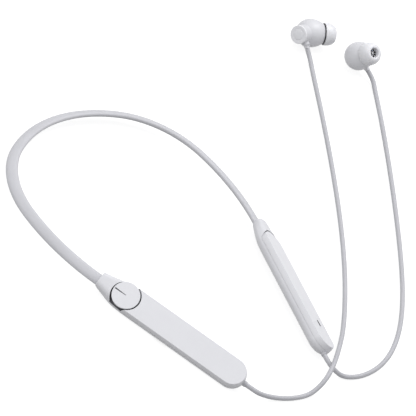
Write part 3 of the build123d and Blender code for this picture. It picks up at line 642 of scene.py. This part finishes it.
# ---------------------------------------------------------------- CAD nodes that stay
for node, mat in {
    "dial_rotor": SEAT, "dial_seat": SEAT, "dial_sensor": DARK, "dial_stem": DARK,
    "dial_bearing_plate": SEAT, "dial_switch": STEEL, "dial_retaining_ring": STEEL,
    "memory_wire": STEEL, "band_lead_ribbon": COPPER,
    "left_circuit_board": BOARD, "right_circuit_board": BOARD, "left_battery": FOIL, "right_battery": FOIL,
    "left_board_screw_inner": STEEL, "left_board_screw_outer": STEEL,
    "right_board_screw_inner": STEEL, "right_board_screw_outer": STEEL,
    "usb_shell": STEEL, "usb_tongue": DARK,
    "right_microphone": STEEL, "microphone_mesh": MESH,
}.items():
    dress(node, mat)
for side in ("left", "right"):
    for part, mat in {
        "bud_rear_shell": SHELL, "bud_front_shell": SHELL, "bud_cap_magnet": MAGNET,
        "driver_basket": DARK, "driver_magnet": MAGNET, "voice_coil": COPPER, "diaphragm": DARK,
        "nozzle_mesh": MESH,
    }.items():
        dress(f"{side}_{part}", mat)


# ---------------------------------------------------------------- earbuds
def turned(name, fr, profile, mat, node, steps):
    """A solid of revolution whose profile starts and ends on the axis."""
    obj = solid(name, rings_about(fr, profile, steps), mat)
    finish_piece(obj, name, "neckband", node, 40)


def cap_frame(bud):
    """Axis of the rear cap, through the middle of the bulb."""
    return Frame(bud.o, bud.y, bud.x * sin(CAP_TILT) - bud.z * cos(CAP_TILT))


def boss_frame(bud, ear):
    """Axis of the cable boss, from the cap axis outward."""
    t, b = CAP_TILT, BOSS_TILT
    way = bud.y * (ear * cos(b)) + (bud.x * cos(t) + bud.z * sin(t)) * sin(b)
    base = bud.o + bud.x * (BOSS_AT * sin(t)) - bud.z * (BOSS_AT * cos(t))
    return Frame(base, bud.z, way)


def ear_tip(bud, side):
    """Soft mushroom tip: domed skirt with a rolled rim round an inner sleeve."""
    outer = smooth_path([
        (2.88, 14.6), (3.02, 15.05), (3.55, 15.26), (4.5, 14.98), (5.45, 14.1),
        (6.2, 12.7), (6.6, 11.1), (6.72, 9.6), (6.68, 8.55),
    ], 8)
    inner = smooth_path([
        (6.5, 8.3), (6.25, 8.4), (6.15, 9.0), (6.1, 10.4), (5.8, 12.0), (5.2, 12.9), (4.85, 12.4),
        (4.8, 11.0), (4.8, 8.5),
    ], 6)
    bore = [(4.7, 8.4), (3.98, 8.4), (3.93, 8.5), (3.93, 13.45), (2.88, 13.45)]
    profile = (outer + inner + bore)[::-1]
    obj = lathe(f"{side}_tip_silicone", bud, profile, TIP, f"{side}_tip", 50)
    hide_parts(f"{side}_ear_tip")


def rear_cap(bud, side):
    """Cap disc with a rounded rim, a shallow groove and a domed centre."""
    rim = [(5.05 + 0.35 * cos(a), 12.35 + 0.35 * sin(a)) for a in (pi / 16 * k for k in range(9))]
    dome = [(3.05 * sin(a), 12.66 + 0.46 * cos(a)) for a in (pi / 24 * (12 - k) for k in range(13))]
    profile = [(0, CAP_BODY - 1), (4.2, CAP_BODY - 1), (4.2, CAP_BODY), (CAP_R, CAP_BODY)] + rim
    profile += [(4.0, CAP_FACE), (3.75, 12.66), (3.5, 12.54), (3.2, 12.54)] + dome
    turned(f"{side}_cap_disc", cap_frame(bud), profile, CAP, f"{side}_bud_cap", 128)


def neck_shade_ring(bud, side):
    """Dark ring in the gap between the bulb and the tip, painted shade under the tip's skirt."""
    profile = [(3.92, 7.62), (5.75, 7.62), (5.82, 7.8), (5.6, 8.22), (3.92, 8.3)]
    obj = lathe(f"{side}_neck_shade_ring", bud, profile, DARK, "neckband", 30)
    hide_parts(f"{side}_neck_ring")


def relief(bud, ear, side):
    """Moulded collar and taper where the cable enters the bud."""
    profile = [(0, 4.5), (1.4, 4.5), (1.4, BOSS_SHELL), (1.95, BOSS_SHELL), (2.02, 6.85), (2.02, 7.2)]
    profile += [(1.92, 7.34), (1.74, 7.38), (1.70, 7.6), (1.62, 8.3), (1.54, 8.8), (1.46, BOSS_END)]
    profile.append((0, BOSS_END))
    turned(f"{side}_relief", boss_frame(bud, ear), profile, SHELL, f"{side}_strain_relief", 96)


def nozzle_grille(bud, side):
    """Pressed grille in the mouth of the nozzle: hub, spokes and rim."""
    cols = GRILLE_SECTORS * GRILLE_STEPS
    profile = [(r, GRILLE_Z - GRILLE_FALL * (r / GRILLE_RADII[-1]) ** 2) for r in GRILLE_RADII]
    verts = [bud.at(0, 0, GRILLE_Z)] + [v for ring in rings_about(bud, profile, cols) for v in ring]
    faces = []
    for k in range(cols):
        nxt = (k + 1) % cols
        faces.append((0, 1 + k, 1 + nxt))
        for ring in range(len(GRILLE_RADII) - 1):
            if ring == 1 and (k % GRILLE_STEPS) / GRILLE_STEPS < GRILLE_OPEN:
                continue
            low, high = 1 + ring * cols, 1 + (ring + 1) * cols
            faces.append((low + k, high + k, high + nxt, low + nxt))
    obj = make(f"{side}_nozzle_grille", verts, faces, LATTICE, "neckband")
    thick = obj.modifiers.new("thickness", "SOLIDIFY")
    thick.thickness, thick.offset = GRILLE_THICK * MM, 0.0


def grommet(fr, side):
    """Flanged sleeve that holds the cable in the end of the module."""
    axis = Frame(fr.o + fr.z * GROMMET_Z, fr.y, fr.x)
    bore = GROMMET_R - 0.02
    profile = [(0, 94.6), (2.3, 94.6), (2.3, 95.4), (bore, 95.4), (bore, 98.4)]
    profile += [(1.64, 98.7), (1.54, 98.9), (1.42, GROMMET_FACE), (0, GROMMET_FACE)]
    turned(f"{side}_sleeve_grommet", axis, profile, CORD, f"{side}_grommet", 64)


for bud, module, ear, side in ((LEFT_BUD, LEFT, 1, "left"), (RIGHT_BUD, RIGHT, -1, "right")):
    ear_tip(bud, side)
    rear_cap(bud, side)
    neck_shade_ring(bud, side)
    relief(bud, ear, side)
    nozzle_grille(bud, side)
    grommet(module, side)


# ---------------------------------------------------------------- floor and light
def floor():
    """Pale matt paper that glows a little and throws no light on the object's underside."""
    mesh = bpy.data.meshes.new("floor")
    corners = [(-1, -1), (1, -1), (1, 1), (-1, 1)]
    mesh.from_pydata([(x * FLOOR_HALF, y * FLOOR_HALF, 0) for x, y in corners], [], [(0, 1, 2, 3)])
    obj = bpy.data.objects.new("floor", mesh)
    bpy.context.collection.objects.link(obj)
    paper = material("floor", (FLOOR_GREY,) * 3, 0.9, mottle=0.004, mottle_scale=3.0)
    shader = paper.node_tree.nodes["Principled BSDF"]
    shader.inputs["Emission Color"].default_value = (1, 1, 1, 1)
    shader.inputs["Emission Strength"].default_value = FLOOR_GLOW
    shader.inputs["Specular IOR Level"].default_value = 0.0
    mesh.materials.append(paper)
    obj.visible_diffuse = False


def lamp(name, spot, size, power):
    """Round soft light aimed at the middle of the object."""
    data = bpy.data.lights.new(name, "AREA")
    data.shape, data.size, data.energy = "DISK", size, power
    obj = bpy.data.objects.new(name, data)
    bpy.context.collection.objects.link(obj)
    obj.location = spot
    obj.rotation_mode = "QUATERNION"
    obj.rotation_quaternion = (-Vector(spot)).to_track_quat("-Z", "Y")


def studio():
    """Soft surroundings, brighter overhead than underneath."""
    world = bpy.data.worlds.new("studio")
    bpy.context.scene.world = world
    world.use_nodes = True
    nodes, links = world.node_tree.nodes, world.node_tree.links
    place, split = nodes.new("ShaderNodeTexCoord"), nodes.new("ShaderNodeSeparateXYZ")
    ramp, span = nodes.new("ShaderNodeValToRGB"), nodes.new("ShaderNodeMapRange")
    span.inputs["From Min"].default_value = -1.0
    ramp.color_ramp.elements.new(0.5)
    for stop, value in zip(ramp.color_ramp.elements, (SKY_BELOW, SKY_LEVEL, SKY_ABOVE)):
        stop.color = (value * SKY_RED, value * SKY_GREEN, value, 1)
    links.new(place.outputs["Generated"], split.inputs["Vector"])
    links.new(split.outputs["Z"], span.inputs["Value"])
    links.new(span.outputs["Result"], ramp.inputs["Fac"])
    links.new(ramp.outputs["Color"], nodes["Background"].inputs["Color"])


floor()
bpy.context.scene.view_settings.view_transform = "Standard"
studio()
lamp("key", (0.75, 0.15, 1.35), size=0.8, power=8)
lamp("top", (-0.35, 0.25, 1.5), size=0.9, power=0.8)
lamp("fill", (-1.15, 0.55, 0.75), size=0.9, power=4)
